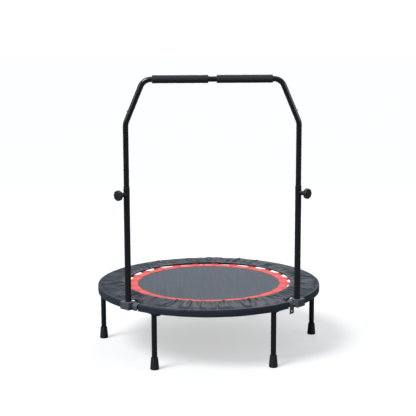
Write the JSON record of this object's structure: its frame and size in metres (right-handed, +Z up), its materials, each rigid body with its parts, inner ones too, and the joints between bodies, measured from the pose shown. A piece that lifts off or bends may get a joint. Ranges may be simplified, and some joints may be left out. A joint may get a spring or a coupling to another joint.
{
  "type": "mini trampoline",
  "caption": "Round mini trampoline on straight legs with rubber feet, spring-hung mat, gathered cloth spring cover and a height-adjustable front handlebar.",
  "frame": {"origin": "on the floor under the middle of the ring, in the plane of the soles of the feet", "axes": "+Z up, -Y towards the handlebar (front), +X to the right as seen from the front"},
  "size_m": [0.9678, 0.9668, 1.1811],
  "materials": {
    "powder_coat": "semi-gloss black powder coat",
    "zinc_steel": "zinc plated",
    "spring_steel": "zinc plated wire",
    "button_steel": "blackened steel",
    "foot_rubber": "matt black rubber",
    "mat_fabric": "tight woven polypropylene, grey",
    "red_webbing": "woven red webbing",
    "cover_fabric": "charcoal coated cloth",
    "pad_foam": "thin closed-cell foam",
    "elastic": "covered elastic cord",
    "grip_foam": "fine-cell foam",
    "black_plastic": "moulded black"
  },
  "bodies": {
    "frame": {"clamp_bolts": "zinc_steel", "cover_elastic": "elastic", "cover_skirt": "cover_fabric", "cover_top": "cover_fabric", "foot_front_left": "foot_rubber", "foot_front_right": "foot_rubber", "foot_rear_left": "foot_rubber", "foot_rear_right": "foot_rubber", "foot_side_left": "foot_rubber", "foot_side_right": "foot_rubber", "frame_half_left": "powder_coat", "frame_half_right": "powder_coat", "frame_screws": "zinc_steel", "frame_sleeves": "zinc_steel", "left_clamp_block": "powder_coat", "left_clamp_jaw": "powder_coat", "left_clamp_strap": "powder_coat", "left_knob_boss": "powder_coat", "left_post": "powder_coat", "leg_front_left": "powder_coat", "leg_front_right": "powder_coat", "leg_nuts": "zinc_steel", "leg_rear_left": "powder_coat", "leg_rear_right": "powder_coat", "leg_saddle_front_left": "powder_coat", "leg_saddle_front_right": "powder_coat", "leg_saddle_rear_left": "powder_coat", "leg_saddle_rear_right": "powder_coat", "leg_saddle_side_left": "powder_coat", "leg_saddle_side_right": "powder_coat", "leg_side_left": "powder_coat", "leg_side_right": "powder_coat", "leg_studs": "zinc_steel", "pad_foam": "pad_foam", "post_bushes": "black_plastic", "right_clamp_block": "powder_coat", "right_clamp_jaw": "powder_coat", "right_clamp_strap": "powder_coat", "right_knob_boss": "powder_coat", "right_post": "powder_coat", "springs": "spring_steel"},
    "mat": {"mat": "mat_fabric", "mat_border": "red_webbing", "mat_tabs": "red_webbing", "mat_links": "zinc_steel"},
    "handle": {"top_bar": "powder_coat", "guide_plugs": "black_plastic", "snap_clips": "button_steel", "left_side_tube": "powder_coat", "left_grip": "grip_foam", "right_side_tube": "powder_coat", "right_grip": "grip_foam"},
    "left_button": {"left_snap_button": "button_steel"},
    "right_button": {"right_snap_button": "button_steel"},
    "left_stud": {"left_knob_stud": "zinc_steel"},
    "right_stud": {"right_knob_stud": "zinc_steel"},
    "left_knob": {"left_knob_head": "black_plastic"},
    "right_knob": {"right_knob_head": "black_plastic"}
  },
  "joints": [
    {"name": "handle_height", "type": "slide", "parent": "frame", "child": "handle", "axis": [0, 0, 1], "range_m": [-0.2, 0]},
    {"name": "mat_bounce", "type": "slide", "parent": "frame", "child": "mat", "axis": [0, 0, 1], "range_m": [-0.12, 0], "stiffness_N_per_m": 9000, "springref_m": 0.003, "deforming": ["springs"]},
    {"name": "left_knob_travel", "type": "slide", "parent": "frame", "child": "left_stud", "axis": [-0.7193, -0.6947, 0], "range_m": [0, 0.0077]},
    {"name": "left_knob_turn", "type": "hinge", "parent": "left_stud", "child": "left_knob", "pos_m": [-0.37765, -0.3647, 0.708], "axis": [-0.7193, -0.6947, 0], "range_deg": [0, 2160]},
    {"name": "left_button_press", "type": "slide", "parent": "handle", "child": "left_button", "axis": [0.9216, 0, -0.3881], "range_m": [0, 0.004], "stiffness_N_per_m": 900, "springref_m": -0.002},
    {"name": "right_knob_travel", "type": "slide", "parent": "frame", "child": "right_stud", "axis": [0.7193, -0.6947, 0], "range_m": [0, 0.0077]},
    {"name": "right_knob_turn", "type": "hinge", "parent": "right_stud", "child": "right_knob", "pos_m": [0.37765, -0.3647, 0.708], "axis": [0.7193, -0.6947, 0], "range_deg": [0, 2160]},
    {"name": "right_button_press", "type": "slide", "parent": "handle", "child": "right_button", "axis": [-0.9216, 0, -0.3881], "range_m": [0, 0.004], "stiffness_N_per_m": 900, "springref_m": -0.002}
  ],
  "couplings": [
    {"joint": "left_knob_travel", "follows": "left_knob_turn", "m_per_rad": 0.00019894},
    {"joint": "right_knob_travel", "follows": "right_knob_turn", "m_per_rad": 0.00019894}
  ]
}
